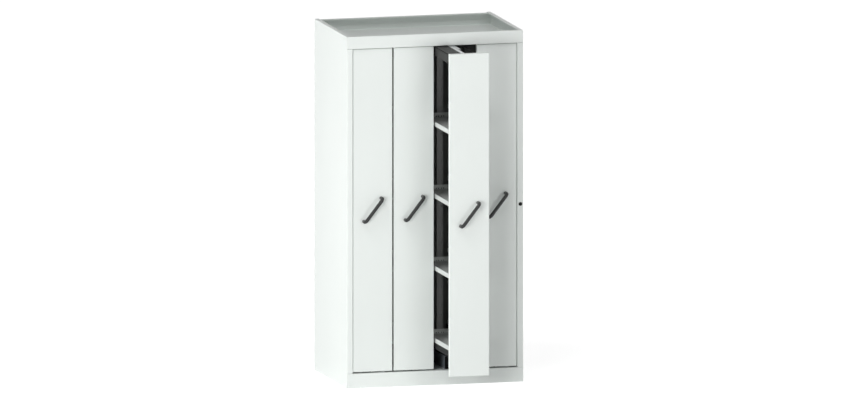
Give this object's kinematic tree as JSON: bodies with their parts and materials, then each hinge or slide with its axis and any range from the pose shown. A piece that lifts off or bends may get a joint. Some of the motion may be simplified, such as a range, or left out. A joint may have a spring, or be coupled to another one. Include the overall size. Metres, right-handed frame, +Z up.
{
  "type": "vertical drawer cabinet",
  "caption": "Tall white steel cabinet with vertical pull-out drawers that hold open shelves, tilted bow handles, a key lock in the right post and a rimmed top.",
  "frame": {"origin": "on the ground under the middle of the cabinet", "axes": "+X to the right seen from the front, +Y to the rear, +Z up"},
  "size_m": [1, 1.0362, 1.95],
  "materials": {
    "white_paint": "satin",
    "frame_paint": "satin",
    "guide_steel": "satin",
    "cap_plastic": "matte",
    "handle_paint": "satin",
    "lock_steel": "satin"
  },
  "bodies": {
    "carcass": {"left_side_panel": "white_paint", "right_side_panel": "white_paint", "back_panel": "white_paint", "header": "white_paint", "plinth": "white_paint", "top_tray": "white_paint", "floor_pan": "white_paint", "base_channel": "white_paint", "floor_rails": "guide_steel", "floor_rail_caps": "cap_plastic", "top_rails": "guide_steel", "lock_fittings": "lock_steel"},
    "drawer_1": {"drawer_1_front_panel": "white_paint", "drawer_1_handle": "handle_paint", "drawer_1_front_upright": "frame_paint", "drawer_1_rear_upright": "frame_paint", "drawer_1_top_beam": "frame_paint", "drawer_1_bottom_beam": "frame_paint", "drawer_1_shelves": "white_paint", "drawer_1_floor_carrier": "guide_steel", "drawer_1_top_carrier": "guide_steel"},
    "bars_1": {"drawer_1_floor_bar": "guide_steel", "drawer_1_top_bar": "guide_steel"},
    "drawer_2": {"drawer_2_front_panel": "white_paint", "drawer_2_handle": "handle_paint", "drawer_2_front_upright": "frame_paint", "drawer_2_rear_upright": "frame_paint", "drawer_2_top_beam": "frame_paint", "drawer_2_bottom_beam": "frame_paint", "drawer_2_shelves": "white_paint", "drawer_2_floor_carrier": "guide_steel", "drawer_2_top_carrier": "guide_steel"},
    "bars_2": {"drawer_2_floor_bar": "guide_steel", "drawer_2_top_bar": "guide_steel"},
    "drawer_3": {"drawer_3_front_panel": "white_paint", "drawer_3_handle": "handle_paint", "drawer_3_front_upright": "frame_paint", "drawer_3_rear_upright": "frame_paint", "drawer_3_top_beam": "frame_paint", "drawer_3_bottom_beam": "frame_paint", "drawer_3_shelves": "white_paint", "drawer_3_floor_carrier": "guide_steel", "drawer_3_top_carrier": "guide_steel"},
    "bars_3": {"drawer_3_floor_bar": "guide_steel", "drawer_3_top_bar": "guide_steel"},
    "drawer_4": {"drawer_4_front_panel": "white_paint", "drawer_4_handle": "handle_paint", "drawer_4_front_upright": "frame_paint", "drawer_4_rear_upright": "frame_paint", "drawer_4_top_beam": "frame_paint", "drawer_4_bottom_beam": "frame_paint", "drawer_4_shelves": "white_paint", "drawer_4_floor_carrier": "guide_steel", "drawer_4_top_carrier": "guide_steel"},
    "bars_4": {"drawer_4_floor_bar": "guide_steel", "drawer_4_top_bar": "guide_steel"},
    "lock_core": {"lock_core": "lock_steel"},
    "lock_rod": {"lock_rod": "guide_steel"},
    "lock_bar": {"lock_bar": "guide_steel"}
  },
  "joints": [
    {"name": "drawer_1_slide", "type": "slide", "parent": "carcass", "child": "drawer_1", "axis": [0, -1, 0], "range_m": [0, 0.6]},
    {"name": "bars_1_slide", "type": "slide", "parent": "carcass", "child": "bars_1", "axis": [0, -1, 0], "range_m": [0, 0.3]},
    {"name": "drawer_2_slide", "type": "slide", "parent": "carcass", "child": "drawer_2", "axis": [0, -1, 0], "range_m": [0, 0.6]},
    {"name": "bars_2_slide", "type": "slide", "parent": "carcass", "child": "bars_2", "axis": [0, -1, 0], "range_m": [0, 0.3]},
    {"name": "drawer_3_slide", "type": "slide", "parent": "carcass", "child": "drawer_3", "axis": [0, -1, 0], "range_m": [-0.3, 0.3]},
    {"name": "bars_3_slide", "type": "slide", "parent": "carcass", "child": "bars_3", "axis": [0, -1, 0], "range_m": [-0.15, 0.15]},
    {"name": "drawer_4_slide", "type": "slide", "parent": "carcass", "child": "drawer_4", "axis": [0, -1, 0], "range_m": [0, 0.6]},
    {"name": "bars_4_slide", "type": "slide", "parent": "carcass", "child": "bars_4", "axis": [0, -1, 0], "range_m": [0, 0.3]},
    {"name": "lock_turn", "type": "hinge", "parent": "carcass", "child": "lock_core", "pos_m": [0.4835, -0.34, 0.986], "axis": [0, 1, 0], "range_deg": [0, 90]},
    {"name": "lock_rod_slide", "type": "slide", "parent": "carcass", "child": "lock_rod", "axis": [0, 0, 1], "range_m": [0, 0.01698]},
    {"name": "lock_bar_slide", "type": "slide", "parent": "carcass", "child": "lock_bar", "axis": [-1, 0, 0], "range_m": [0, 0.01697]}
  ],
  "couplings": [
    {"joint": "bars_1_slide", "follows": "drawer_1_slide", "ratio": 0.5},
    {"joint": "bars_2_slide", "follows": "drawer_2_slide", "ratio": 0.5},
    {"joint": "bars_3_slide", "follows": "drawer_3_slide", "ratio": 0.5},
    {"joint": "bars_4_slide", "follows": "drawer_4_slide", "ratio": 0.5},
    {"joint": "lock_rod_slide", "follows": "lock_bar_slide", "ratio": 1},
    {"joint": "lock_turn", "follows": "lock_bar_slide", "rad_per_m": 92.56}
  ]
}
